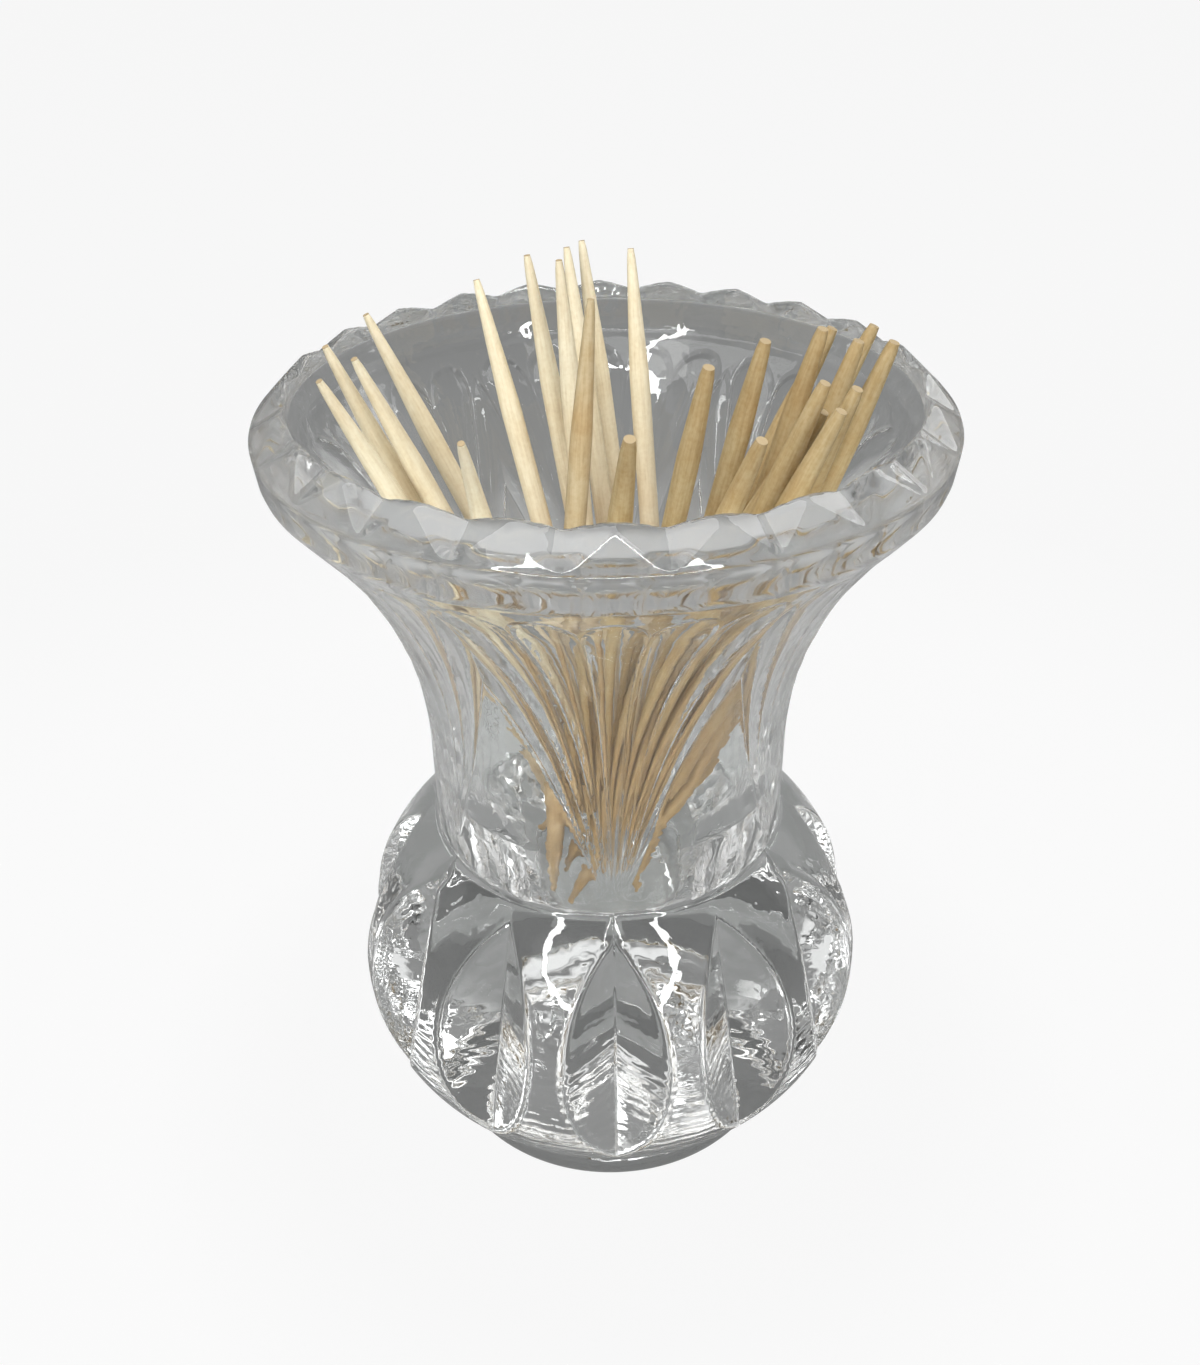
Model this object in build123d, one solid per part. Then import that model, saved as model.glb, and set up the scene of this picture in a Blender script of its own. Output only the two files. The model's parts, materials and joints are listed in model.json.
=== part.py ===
from build123d import *
from math import cos, hypot, pi, radians, sin, sqrt, tan
import os

# Toothpick holder in millimetres: base on z = 0, +Z up, front at -Y.

# Foot
foot_radius = 21.0
foot_height = 4.0
foot_bevel = 0.6
recess_radius = 15.0
recess_depth = 0.8

# Bulb
waist_radius = 20.2
waist_rise = 0.8
bulb_radius = 29.3
bulb_lower_height = 15.2
bulb_upper_height = 20.0

# Neck and flare
neck_radius = 19.3
neck_length = 11.0
flare_angle = 39.0
flare_straight = 3.4

# Rim
rim_radius = 33.2
rim_draft = 0.4
rim_band_height = 3.4
rim_bevel_width = 2.7
rim_bevel_height = 2.9
lip_width = 0.8

# Well
neck_wall = 4.0
well_sink = 9.0
well_floor_radius = 12.0
well_fillet = 1.5
mouth_draft = 0.9
step_width = 0.4

# Pointed oval mitre cuts round the bulb
leaf_count = 12
leaf_half_angle = 55.0
leaf_top_rise = 18.2
leaf_bottom_drop = 8.2

# Notches round the rim
notch_count = 24
notch_half_angle = 73.0
notch_depth = 1.1

# Picks
pick_length = 68.0
pick_diameter = 2.1
sharp_tip_diameter = 0.7
sharp_taper = 13.0
blunt_end_diameter = 1.1
blunt_taper = 9.0
pick_gap = 0.4
wall_gap = 0.25
floor_gap = 0.2
sharp_up_count = 12

# Each pick's foot on the well floor and its place at rim height, in pick pitches.
# The first sharp_up_count picks have the sharp end up, the others the blunt end.
pick_places = [
    ((-0.2, 2.8), (-9.6, -2.8)),
    ((-1.2, 3.4), (-9.4, -1.0)),
    ((0.0, 3.8), (-8.4, -1.6)),
    ((1.2, 3.6), (-8.4, 2.6)),
    ((-2.0, 2.4), (-4.6, -8.2)),
    ((1.2, -1.4), (-4.4, 4.2)),
    ((1.2, 2.4), (-2.4, 4.2)),
    ((0.2, 1.8), (-1.4, 2.6)),
    ((2.0, 1.4), (-1.0, 6.0)),
    ((2.6, 2.2), (-0.4, 7.2)),
    ((-2.8, -2.6), (-0.8, -2.0)),
    ((3.0, 0.2), (1.4, 6.2)),
    ((-1.4, 0.0), (0.4, -9.2)),
    ((-0.6, -0.8), (2.8, -6.0)),
    ((0.6, 0.6), (4.8, -3.8)),
    ((-2.2, -1.6), (4.2, -9.2)),
    ((1.6, 0.4), (6.8, -2.8)),
    ((-2.0, 1.0), (7.8, 0.4)),
    ((1.2, -2.4), (7.8, -3.8)),
    ((-0.8, 0.8), (9.6, 1.2)),
    ((1.8, -0.6), (9.2, -3.0)),
    ((-1.2, -2.2), (6.4, -6.0)),
    ((0.0, -2.0), (7.4, -6.4)),
    ((-1.8, -3.0), (6.8, -7.4)),
    ((-3.8, 0.4), (7.0, -5.2)),
]

# Heights, stacked from the base up
waist_z = foot_height + waist_rise
equator_z = waist_z + bulb_lower_height
neck_z = equator_z + bulb_upper_height
flare_z = neck_z + neck_length
floor_z = neck_z - well_sink

# Flare: an arc that leaves the neck upright, then a straight cone to the rim
slope = tan(radians(flare_angle))
rim_under_radius = rim_radius - rim_draft
flare_rise = rim_under_radius - flare_straight - neck_radius
flare_arc = flare_rise / (1 - cos(radians(flare_angle)))
flare_centre = neck_radius + flare_arc
rim_under_z = flare_z + flare_arc * sin(radians(flare_angle)) + flare_straight / slope
rim_edge_z = rim_under_z + rim_band_height
top_z = rim_edge_z + rim_bevel_height

# Lip and mouth
lip_outer_radius = rim_radius - rim_bevel_width
lip_inner_radius = lip_outer_radius - lip_width
step_outer_radius = lip_inner_radius - mouth_draft
step_inner_radius = step_outer_radius - step_width
well_neck_radius = neck_radius - neck_wall
well_arc = flare_arc + neck_wall
well_arc_radius = flare_centre - well_arc * cos(radians(flare_angle))
well_arc_z = flare_z + well_arc * sin(radians(flare_angle))
step_z = well_arc_z + (step_inner_radius - well_arc_radius) / slope


def arc_radius(width, height):
    """Radius of an arc that leaves a point upright and ends width in and height away."""
    return (width * width + height * height) / (2 * width)


bulb_upper_arc = arc_radius(bulb_radius - neck_radius, bulb_upper_height)
bulb_lower_arc = arc_radius(bulb_radius - waist_radius, bulb_lower_height)


def bulb_surface(z):
    """Radius of the uncut bulb at a height."""
    arc = bulb_upper_arc if z > equator_z else bulb_lower_arc
    return bulb_radius - arc + sqrt(arc * arc - (z - equator_z) ** 2)


def wall_radius(z):
    """Radius of the well's wall at a height between the floor and the step."""
    if z < flare_z:
        share = (z - floor_z) / (flare_z - floor_z)
        return well_floor_radius + share * (well_neck_radius - well_floor_radius)
    if z < well_arc_z:
        return flare_centre - sqrt(well_arc * well_arc - (z - flare_z) ** 2)
    return well_arc_radius + (z - well_arc_z) * slope


def make_blank():
    """Turned glass blank with its well, before any cuts."""
    with BuildPart() as blank:
        with BuildSketch(Plane.XZ):
            with BuildLine():
                Polyline(
                    (0, recess_depth),
                    (recess_radius - recess_depth, recess_depth),
                    (recess_radius, 0),
                    (foot_radius - foot_bevel, 0),
                    (foot_radius, foot_bevel),
                    (foot_radius, foot_height),
                    (waist_radius, waist_z),
                )
                TangentArc((bulb_radius, equator_z), (waist_radius, waist_z), tangent=(0, -1))
                TangentArc((bulb_radius, equator_z), (neck_radius, neck_z), tangent=(0, 1))
                Line((neck_radius, neck_z), (neck_radius, flare_z))
                CenterArc((flare_centre, flare_z), flare_arc, 180, -flare_angle)
                Polyline(
                    (rim_under_radius - flare_straight, rim_under_z - flare_straight / slope),
                    (rim_under_radius, rim_under_z),
                    (rim_radius, rim_edge_z),
                    (lip_outer_radius, top_z),
                    (lip_inner_radius, top_z),
                    (step_outer_radius, step_z),
                    (step_inner_radius, step_z),
                    (well_arc_radius, well_arc_z),
                )
                CenterArc((flare_centre, flare_z), well_arc, 180, -flare_angle)
                FilletPolyline(
                    (well_neck_radius, flare_z),
                    (well_floor_radius, floor_z),
                    (0, floor_z),
                    radius=well_fillet,
                )
                Line((0, floor_z), (0, recess_depth))
            make_face()
        revolve(axis=Axis.Z)
    return blank.part


def make_leaf_cutter():
    """Straight V cut for the front mitre, from its bottom point to its top point."""
    overrun = 1.0
    bottom_z = equator_z - leaf_bottom_drop
    top_leaf_z = equator_z + leaf_top_rise
    bottom_radius = bulb_surface(bottom_z)
    top_radius = bulb_surface(top_leaf_z)
    lean = (top_radius - bottom_radius) / (top_leaf_z - bottom_z)
    start_z = bottom_z - overrun
    start_radius = bottom_radius - overrun * lean
    reach = bulb_radius - top_radius + overrun
    half_width = reach * tan(radians(leaf_half_angle))
    run = Vector(0, -lean, 1) * (top_leaf_z - bottom_z + 2 * overrun)
    triangle = make_face(
        Polyline(
            (0, -start_radius, start_z),
            (-half_width, -start_radius - reach, start_z),
            (half_width, -start_radius - reach, start_z),
            close=True,
        )
    )
    return extrude(triangle, amount=run.length, dir=run.normalized())


def make_notch_cutter():
    """V notch across the front of the rim, from its outer edge up over the lip."""
    overrun = 1.0
    lip_middle = (lip_outer_radius + lip_inner_radius) / 2
    rise = (top_z - notch_depth - rim_edge_z) / (rim_radius - lip_middle)
    start_y = -rim_radius - overrun
    start_z = rim_edge_z - overrun * rise
    height = rim_bevel_height + 3 * overrun
    half_width = height * tan(radians(notch_half_angle))
    run = Vector(0, 1, rise) * (rim_radius - step_inner_radius + 2 * overrun)
    triangle = make_face(
        Polyline(
            (0, start_y, start_z),
            (half_width, start_y, start_z + height),
            (-half_width, start_y, start_z + height),
            close=True,
        )
    )
    return extrude(triangle, amount=run.length, dir=run.normalized())


def make_glass():
    """The whole glass piece: blank, mitre cuts and rim notches."""
    glass = make_blank()
    leaf = make_leaf_cutter()
    notch = make_notch_cutter()
    leaf_pitch = 360 / leaf_count
    notch_pitch = 360 / notch_count
    leaves = [Rot(Z=i * leaf_pitch) * leaf for i in range(leaf_count)]
    notches = [Rot(Z=(i + 0.5) * notch_pitch) * notch for i in range(notch_count)]
    for cutter in leaves + notches:
        glass = glass - cutter
    return glass


def make_pick(sharp_up):
    """One pick standing on the origin along +Z."""
    low = blunt_end_diameter / 2 if sharp_up else sharp_tip_diameter / 2
    high = sharp_tip_diameter / 2 if sharp_up else blunt_end_diameter / 2
    low_taper = blunt_taper if sharp_up else sharp_taper
    high_taper = sharp_taper if sharp_up else blunt_taper
    with BuildPart() as pick:
        with BuildSketch(Plane.XZ):
            with BuildLine():
                Polyline(
                    (0, 0),
                    (low, 0),
                    (pick_diameter / 2, low_taper),
                    (pick_diameter / 2, pick_length - high_taper),
                    (high, pick_length),
                    (0, pick_length),
                    close=True,
                )
            make_face()
        revolve(axis=Axis.Z)
    return pick.part


def pick_line(index, spread):
    """Foot point and unit direction of a pick when the sheaf is opened by spread."""
    pitch = pick_diameter + pick_gap
    foot, mouth = pick_places[index]
    end = blunt_end_diameter if index < sharp_up_count else sharp_tip_diameter
    start = Vector(foot[0] * pitch, foot[1] * pitch, floor_z)
    aim = Vector(mouth[0] * pitch * spread, mouth[1] * pitch * spread, top_z)
    way = (aim - start).normalized()
    lift = floor_gap + end / 2 * hypot(way.X, way.Y)
    return start + Vector(0, 0, lift), way


def pick_wall_gap(index, spread):
    """Least gap between a pick's side and the well's wall."""
    start, way = pick_line(index, spread)
    steps = 60
    gaps = []
    for i in range(steps):
        z = floor_z + blunt_taper + (step_z - floor_z - blunt_taper) * i / steps
        point = start + way * ((z - start.Z) / way.Z)
        gaps.append(wall_radius(z) - hypot(point.X, point.Y) - pick_diameter / 2 / way.Z)
    return min(gaps)


def sheaf_spread():
    """Opening of the sheaf at which its first pick comes within wall_gap of the glass."""
    low, high = 0.0, 2.0
    for _ in range(40):
        middle = (low + high) / 2
        if min(pick_wall_gap(i, middle) for i in range(len(pick_places))) > wall_gap:
            low = middle
        else:
            high = middle
    return low


os.makedirs("parts", exist_ok=True)
export_step(make_glass(), "parts/glass_holder.step")

spread = sheaf_spread()
for index in range(len(pick_places)):
    start, way = pick_line(index, spread)
    stand = Plane(origin=start, z_dir=way)
    pick = stand.location * make_pick(index < sharp_up_count)
    export_step(pick, f"parts/toothpick_{index + 1:02d}.step")
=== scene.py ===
import json
import logging
import math
from dataclasses import dataclass, field
from enum import Enum

import bmesh
import bpy
import numpy as np
from mathutils import Matrix, Vector


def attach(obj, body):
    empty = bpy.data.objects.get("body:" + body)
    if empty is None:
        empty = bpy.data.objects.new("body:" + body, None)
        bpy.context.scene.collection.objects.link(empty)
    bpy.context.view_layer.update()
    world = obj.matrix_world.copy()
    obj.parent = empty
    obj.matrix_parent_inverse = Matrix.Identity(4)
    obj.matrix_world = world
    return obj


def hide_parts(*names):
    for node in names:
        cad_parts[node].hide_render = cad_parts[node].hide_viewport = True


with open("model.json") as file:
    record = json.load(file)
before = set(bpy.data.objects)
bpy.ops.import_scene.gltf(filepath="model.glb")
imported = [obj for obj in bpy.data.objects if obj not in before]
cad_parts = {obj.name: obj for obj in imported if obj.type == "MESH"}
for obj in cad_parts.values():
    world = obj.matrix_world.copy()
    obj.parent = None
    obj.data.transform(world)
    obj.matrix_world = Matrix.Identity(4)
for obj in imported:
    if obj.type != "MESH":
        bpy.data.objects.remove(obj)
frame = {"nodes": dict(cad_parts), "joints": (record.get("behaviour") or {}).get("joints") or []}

LOG = logging.getLogger("toothpick_holder")
MM = 0.001


class PickEnd(Enum):
    """Which end of a pick points up."""

    SHARP = "sharp"
    BLUNT = "blunt"


class WoodTone(Enum):
    """Which copy of the wood colour a pick gets: pale cream, a darker tan, or stained."""

    CREAM = "cream"
    TAN = "tan"
    STAINED = "stained"


def feed(tree: bpy.types.NodeTree, value: object, socket: bpy.types.NodeSocket) -> None:
    """Joins a field or a socket to an input, or sets the input to a plain value.

    Args:
        tree: the tree that the input is in.
        value: the field, socket or plain value.
        socket: the input.
    """
    if isinstance(value, Field):
        value = value.socket
    if isinstance(value, bpy.types.NodeSocket):
        tree.links.new(value, socket)
    else:
        socket.default_value = value


def add_node(tree: bpy.types.NodeTree, kind: str, inputs: dict[str, object]) -> bpy.types.Node:
    """Adds a node and fills its inputs.

    Args:
        tree: the tree to add to.
        kind: the node's type name.
        inputs: values, fields or sockets by input name, with _ for a space.

    Returns:
        The new node.
    """
    node = tree.nodes.new(kind)
    for name, value in inputs.items():
        feed(tree, value, node.inputs[name.replace("_", " ")])
    return node


def add_math(tree: bpy.types.NodeTree, operation: str, values: tuple[object, ...]) -> bpy.types.NodeSocket:
    """Adds a Math node.

    Args:
        tree: the tree to add to.
        operation: the node's operation.
        values: its inputs, as fields, sockets or plain numbers.

    Returns:
        The node's result.
    """
    node = tree.nodes.new("ShaderNodeMath")
    node.operation = operation
    for slot, value in enumerate(values):
        feed(tree, value, node.inputs[slot])
    return node.outputs[0]


class Field:
    """One number in a node tree, with the operators that add Math nodes."""

    def __init__(self, tree: bpy.types.NodeTree, socket: bpy.types.NodeSocket) -> None:
        """Keeps the tree and the socket that carries the number."""
        self.tree = tree
        self.socket = socket

    def math(self, operation: str, *others: "Field | float") -> "Field":
        """Adds one Math node, with this field as its first input."""
        return Field(self.tree, add_math(self.tree, operation, (self, *others)))

    def __add__(self, other: "Field | float") -> "Field":
        """Sum."""
        return self.math("ADD", other)

    def __sub__(self, other: "Field | float") -> "Field":
        """Difference."""
        return self.math("SUBTRACT", other)

    def __mul__(self, other: "Field | float") -> "Field":
        """Product."""
        return self.math("MULTIPLY", other)

    def __truediv__(self, other: "Field | float") -> "Field":
        """Quotient."""
        return self.math("DIVIDE", other)

    def __abs__(self) -> "Field":
        """Size without sign."""
        return self.math("ABSOLUTE")

    def wrapped(self, pitch: "Field | float") -> "Field":
        """Distance to the nearest whole multiple of pitch, with its sign."""
        return self - (self / pitch).math("ROUND") * pitch


class Tree:
    """A Geometry Nodes tree with named inputs, made in code."""

    def __init__(self, name: str) -> None:
        """Starts an empty tree that takes and gives a geometry.

        Args:
            name: the tree's name.
        """
        self.group = bpy.data.node_groups.new(name, "GeometryNodeTree")
        self.group.interface.new_socket("Geometry", in_out="INPUT", socket_type="NodeSocketGeometry")
        self.group.interface.new_socket("Geometry", in_out="OUTPUT", socket_type="NodeSocketGeometry")
        self.entry = self.group.nodes.new("NodeGroupInput")
        self.exit = self.group.nodes.new("NodeGroupOutput")
        self.identifiers: dict[str, str] = {}

    def number(self, name: str, value: float) -> Field:
        """Adds a named number input.

        Args:
            name: the input's name.
            value: its default.

        Returns:
            The input as a field.
        """
        socket = self.group.interface.new_socket(name, in_out="INPUT", socket_type="NodeSocketFloat")
        socket.default_value = value
        self.identifiers[name] = socket.identifier
        return Field(self.group, self.entry.outputs[name])

    def typed(self, name: str, socket_type: str) -> bpy.types.NodeSocket:
        """Adds a named input of another type.

        Args:
            name: the input's name.
            socket_type: Blender's name of the socket type.

        Returns:
            The socket inside the tree.
        """
        socket = self.group.interface.new_socket(name, in_out="INPUT", socket_type=socket_type)
        self.identifiers[name] = socket.identifier
        return self.entry.outputs[name]

    def node(self, kind: str, **inputs: object) -> bpy.types.Node:
        """Adds a node and fills its inputs."""
        return add_node(self.group, kind, inputs)

    def link(self, source: bpy.types.NodeSocket, target: bpy.types.NodeSocket) -> None:
        """Joins two sockets."""
        self.group.links.new(source, target)

    def apply(self, piece: bpy.types.Object, **values: object) -> bpy.types.Object:
        """Runs the tree on a piece and keeps the result as its plain mesh.

        Args:
            piece: the object that the tree works on.
            values: input values by input name, with _ for a space.

        Returns:
            The same object with its finished mesh.
        """
        modifier = piece.modifiers.new(self.group.name, "NODES")
        modifier.node_group = self.group
        for name, value in values.items():
            modifier[self.identifiers[name.replace("_", " ")]] = value
        bpy.context.view_layer.update()
        evaluated = piece.evaluated_get(bpy.context.evaluated_depsgraph_get())
        mesh = bpy.data.meshes.new_from_object(evaluated)
        piece.modifiers.remove(modifier)
        rough = piece.data
        piece.data = mesh
        mesh.name = piece.name
        bpy.data.meshes.remove(rough)
        return piece


class Shading:
    """The node tree of a material or world, with short ways to add nodes."""

    def __init__(self, owner: bpy.types.Material | bpy.types.World,
                 output: str = "ShaderNodeOutputMaterial") -> None:
        """Empties the owner's tree and adds its output.

        Args:
            owner: the material or world.
            output: the type name of its output node.
        """
        self.owner = owner
        owner.use_nodes = True
        self.tree = owner.node_tree
        self.tree.nodes.clear()
        self.output = self.tree.nodes.new(output)

    def node(self, kind: str, **inputs: object) -> bpy.types.Node:
        """Adds a node and fills its inputs."""
        return add_node(self.tree, kind, inputs)

    def math(self, operation: str, *values: object) -> bpy.types.NodeSocket:
        """Adds a Math node."""
        return add_math(self.tree, operation, values)

    def ramp(self, factor: bpy.types.NodeSocket,
             stops: list[tuple[float, tuple[float, ...]]]) -> bpy.types.NodeSocket:
        """Adds a Color Ramp.

        Args:
            factor: what drives the ramp.
            stops: places and colours along it.

        Returns:
            The ramp's colour.
        """
        node = self.tree.nodes.new("ShaderNodeValToRGB")
        elements = node.color_ramp.elements
        while len(elements) < len(stops):
            elements.new(0.5)
        for element, (place, colour) in zip(elements, stops):
            element.position = place
            element.color = (*colour, 1.0)
        self.tree.links.new(factor, node.inputs["Fac"])
        return node.outputs["Color"]

    def grey_ramp(self, factor: bpy.types.NodeSocket,
                  stops: tuple[tuple[float, float], ...]) -> bpy.types.NodeSocket:
        """Adds a Color Ramp of plain greys."""
        return self.ramp(factor, [(place, (grey, grey, grey)) for place, grey in stops])

    def blend(self, mode: str, factor: object, first: object, second: object) -> bpy.types.NodeSocket:
        """Adds a colour Mix node.

        Args:
            mode: its blend type.
            factor: how much of second shows.
            first: the lower colour.
            second: the upper colour.

        Returns:
            The mixed colour.
        """
        node = self.tree.nodes.new("ShaderNodeMix")
        node.data_type = "RGBA"
        node.blend_type = mode
        for slot, value in ((0, factor), (6, first), (7, second)):
            feed(self.tree, (*value, 1.0) if isinstance(value, tuple) else value, node.inputs[slot])
        return node.outputs[2]

    def mix(self, factor: bpy.types.NodeSocket, first: bpy.types.NodeSocket,
            second: bpy.types.NodeSocket) -> bpy.types.NodeSocket:
        """Adds a Mix Shader.

        Args:
            factor: how much of second shows.
            first: the lower shader.
            second: the upper shader.

        Returns:
            The mixed shader.
        """
        node = self.tree.nodes.new("ShaderNodeMixShader")
        for slot, socket in enumerate((factor, first, second)):
            self.tree.links.new(socket, node.inputs[slot])
        return node.outputs["Shader"]

    def finish(self, shader: bpy.types.NodeSocket) -> bpy.types.Material | bpy.types.World:
        """Joins a shader to the output and returns the owner."""
        self.tree.links.new(shader, self.output.inputs["Surface"])
        return self.owner


@dataclass(frozen=True)
class PressedGlass:
    """Clear pressed glass with faint ripples from the mould and sharp ridges between its flutes.

    Heights and depths are in mm.
    """

    tint: tuple[float, float, float] = (0.945, 0.96, 0.952)
    refraction: float = 1.52
    haze: float = 0.015
    wave_scale: float = 45.0
    wave_strength: float = 0.25
    wave_depth: float = 2.0
    ripple_scale: float = 170.0
    ripple_strength: float = 0.22
    ripple_depth: float = 0.5
    fine_scale: float = 650.0
    fine_strength: float = 0.22
    fine_depth: float = 0.1
    ridge_height: float = 0.1
    ridge_share: float = 0.25
    chill_scale: float = 240.0
    chill_height: float = 0.02
    chill_wander: float = 5.0
    chill_top: float = 30.0
    chill_fade: float = 6.0

    def ridges(self, shade: Shading, flute_reach: float) -> bpy.types.NodeSocket:
        """Adds the raised lines between the flutes, from the attribute flute.

        Args:
            shade: the material's tree.
            flute_reach: how many flutes there are from a fan's middle to its side.

        Returns:
            The lines' height from 0 to 1.
        """
        mark = shade.node("ShaderNodeAttribute")
        mark.attribute_name = "flute"
        parts = shade.node("ShaderNodeSeparateXYZ", Vector=mark.outputs["Vector"])
        flute, arch, size = (parts.outputs[axis] for axis in "XYZ")
        off = shade.math("SUBTRACT", flute, shade.math("ROUND", flute))
        across = shade.math("MULTIPLY", shade.math("MULTIPLY", off, off), 4.0)
        hollow = shade.math("SUBTRACT", 1.0, shade.math("MULTIPLY_ADD", arch, arch, across))
        away = shade.math("DIVIDE", shade.math("ABSOLUTE", hollow), self.ridge_share)
        line = shade.math("MAXIMUM", shade.math("SUBTRACT", 1.0, away), 0.0)
        inside = shade.math("LESS_THAN", flute, flute_reach)
        return shade.math("MULTIPLY", shade.math("MULTIPLY", line, inside), size)

    def chill_marks(self, shade: Shading, place: bpy.types.NodeSocket) -> bpy.types.NodeSocket:
        """Adds the level waves that a cool mould leaves on the bulb.

        Args:
            shade: the material's tree.
            place: where on the glass.

        Returns:
            The waves' height from 0 to 1.
        """
        wave = shade.node("ShaderNodeTexWave", Vector=place, Scale=self.chill_scale, Detail=2.0,
                          Distortion=self.chill_wander)
        wave.bands_direction = "Z"
        parts = shade.node("ShaderNodeSeparateXYZ", Vector=place)
        low = shade.node("ShaderNodeMapRange", Value=parts.outputs["Z"])
        low.inputs["From Min"].default_value = self.chill_top * MM
        low.inputs["From Max"].default_value = (self.chill_top - self.chill_fade) * MM
        return shade.math("MULTIPLY", wave.outputs["Fac"], low.outputs["Result"])

    def material(self, flute_reach: float) -> bpy.types.Material:
        """Makes the glass material, which lets lamp light through to what stands in it.

        Args:
            flute_reach: how many flutes there are from a fan's middle to its side.

        Returns:
            The material.
        """
        shade = Shading(bpy.data.materials.new("pressed_glass"))
        place = shade.node("ShaderNodeTexCoord").outputs["Object"]
        bump = shade.node("ShaderNodeBump", Height=self.ridges(shade, flute_reach), Strength=1.0,
                          Distance=self.ridge_height * MM)
        bump = shade.node("ShaderNodeBump", Height=self.chill_marks(shade, place), Strength=1.0,
                          Distance=self.chill_height * MM, Normal=bump.outputs["Normal"])
        for scale, strength, distance in (
            (self.wave_scale, self.wave_strength, self.wave_depth),
            (self.ripple_scale, self.ripple_strength, self.ripple_depth),
            (self.fine_scale, self.fine_strength, self.fine_depth),
        ):
            noise = shade.node("ShaderNodeTexNoise", Vector=place, Scale=scale, Detail=1.0)
            bump = shade.node("ShaderNodeBump", Height=noise.outputs["Fac"], Strength=strength,
                              Distance=distance * MM, Normal=bump.outputs["Normal"])
        glass = shade.node("ShaderNodeBsdfPrincipled", Normal=bump.outputs["Normal"], Roughness=self.haze,
                           IOR=self.refraction)
        glass.inputs["Base Color"].default_value = (*self.tint, 1.0)
        glass.inputs["Transmission Weight"].default_value = 1.0
        clear = shade.node("ShaderNodeBsdfTransparent")
        clear.inputs["Color"].default_value = (*self.tint, 1.0)
        path = shade.node("ShaderNodeLightPath")
        lit = path.outputs["Is Shadow Ray"]
        return shade.finish(shade.mix(lit, glass.outputs["BSDF"], clear.outputs["BSDF"]))


@dataclass(frozen=True)
class BareWood:
    """Bare birch with fine grain along the pick, stains, painted shade that darkens its low part, and a
    plain upper cut end.
    """

    tone: WoodTone
    pale: tuple[float, float, float]
    middle: tuple[float, float, float]
    dark: tuple[float, float, float]
    stain: float
    cut_end: tuple[float, float, float] = (0.44, 0.34, 0.2)
    blotch: tuple[float, float, float] = (0.78, 0.62, 0.42)
    # painted shade: a colour multiplied into the low part of each pick, standing in for shade inside the
    # bundle and under the rim
    painted_shade_colour: tuple[float, float, float] = (0.6, 0.5, 0.42)
    painted_shade_strength: float = 0.8
    grain_stretch: float = 0.07
    fibre_scale: float = 4.5
    fuzz_scale: float = 2.6
    blotch_scale: float = 0.16
    fibre_height: float = 0.05
    fibre_strength: float = 0.3
    roughness: float = 0.66
    gloss: float = 0.25
    length: float = 68.0
    cut_depth: float = 0.05

    def noise(self, shade: Shading, place: bpy.types.NodeSocket, lot: bpy.types.NodeSocket, scale: float,
              detail: float) -> bpy.types.NodeSocket:
        """Adds a noise that differs from pick to pick.

        Args:
            shade: the material's tree.
            place: where on the pick.
            lot: the pick's own number.
            scale: features per millimetre.
            detail: octaves.

        Returns:
            The noise value.
        """
        node = shade.node("ShaderNodeTexNoise")
        node.noise_dimensions = "4D"
        shade.tree.links.new(place, node.inputs["Vector"])
        shade.tree.links.new(lot, node.inputs["W"])
        node.inputs["Scale"].default_value = scale
        node.inputs["Detail"].default_value = detail
        return node.outputs["Fac"]

    def material(self) -> bpy.types.Material:
        """Makes the wood material, which follows the attribute stick along each pick.

        Returns:
            The material.
        """
        shade = Shading(bpy.data.materials.new(f"wood_{self.tone.value}"))
        stick = shade.node("ShaderNodeAttribute")
        stick.attribute_name = "stick"
        lot = shade.node("ShaderNodeAttribute")
        lot.attribute_name = "lot"
        parts = shade.node("ShaderNodeSeparateXYZ", Vector=stick.outputs["Vector"])
        long_grain = shade.node("ShaderNodeMapping", Vector=stick.outputs["Vector"])
        long_grain.inputs["Scale"].default_value = (1.0, 1.0, self.grain_stretch)
        fibre = self.noise(shade, long_grain.outputs["Vector"], lot.outputs["Fac"], self.fibre_scale, 5.0)
        fuzz = self.noise(shade, stick.outputs["Vector"], lot.outputs["Fac"], self.fuzz_scale, 4.0)
        blotch = self.noise(shade, stick.outputs["Vector"], lot.outputs["Fac"], self.blotch_scale, 3.0)
        grain = shade.ramp(fibre, [(0.3, self.dark), (0.46, self.middle), (0.62, self.pale)])
        fuzzy = shade.ramp(fuzz, [(0.35, self.middle), (0.6, self.pale)])
        mixed = shade.blend("MIX", 0.5, grain, fuzzy)
        stained = shade.ramp(blotch, [(0.42, (1.0, 1.0, 1.0)), (0.68, self.blotch)])
        patched = shade.blend("MULTIPLY", self.stain, mixed, stained)
        # Painted shade: each pick is darkened fully below 0.45 of its length, fading out by 0.82.
        height = shade.math("DIVIDE", parts.outputs["Z"], self.length)
        painted_low_shade = shade.ramp(height, [(0.45, self.painted_shade_colour), (0.82, (1.0, 1.0, 1.0))])
        with_painted_shade = shade.blend("MULTIPLY", self.painted_shade_strength, patched, painted_low_shade)
        cut = shade.math("GREATER_THAN", parts.outputs["Z"], self.length - self.cut_depth)
        colour = shade.blend("MIX", cut, with_painted_shade, self.cut_end)
        bump = shade.node("ShaderNodeBump", Height=fibre, Strength=self.fibre_strength,
                          Distance=self.fibre_height * MM)
        wood = shade.node("ShaderNodeBsdfPrincipled", Base_Color=colour, Normal=bump.outputs["Normal"],
                          Roughness=self.roughness)
        wood.inputs["Specular IOR Level"].default_value = self.gloss
        return shade.finish(wood.outputs["BSDF"])


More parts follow.
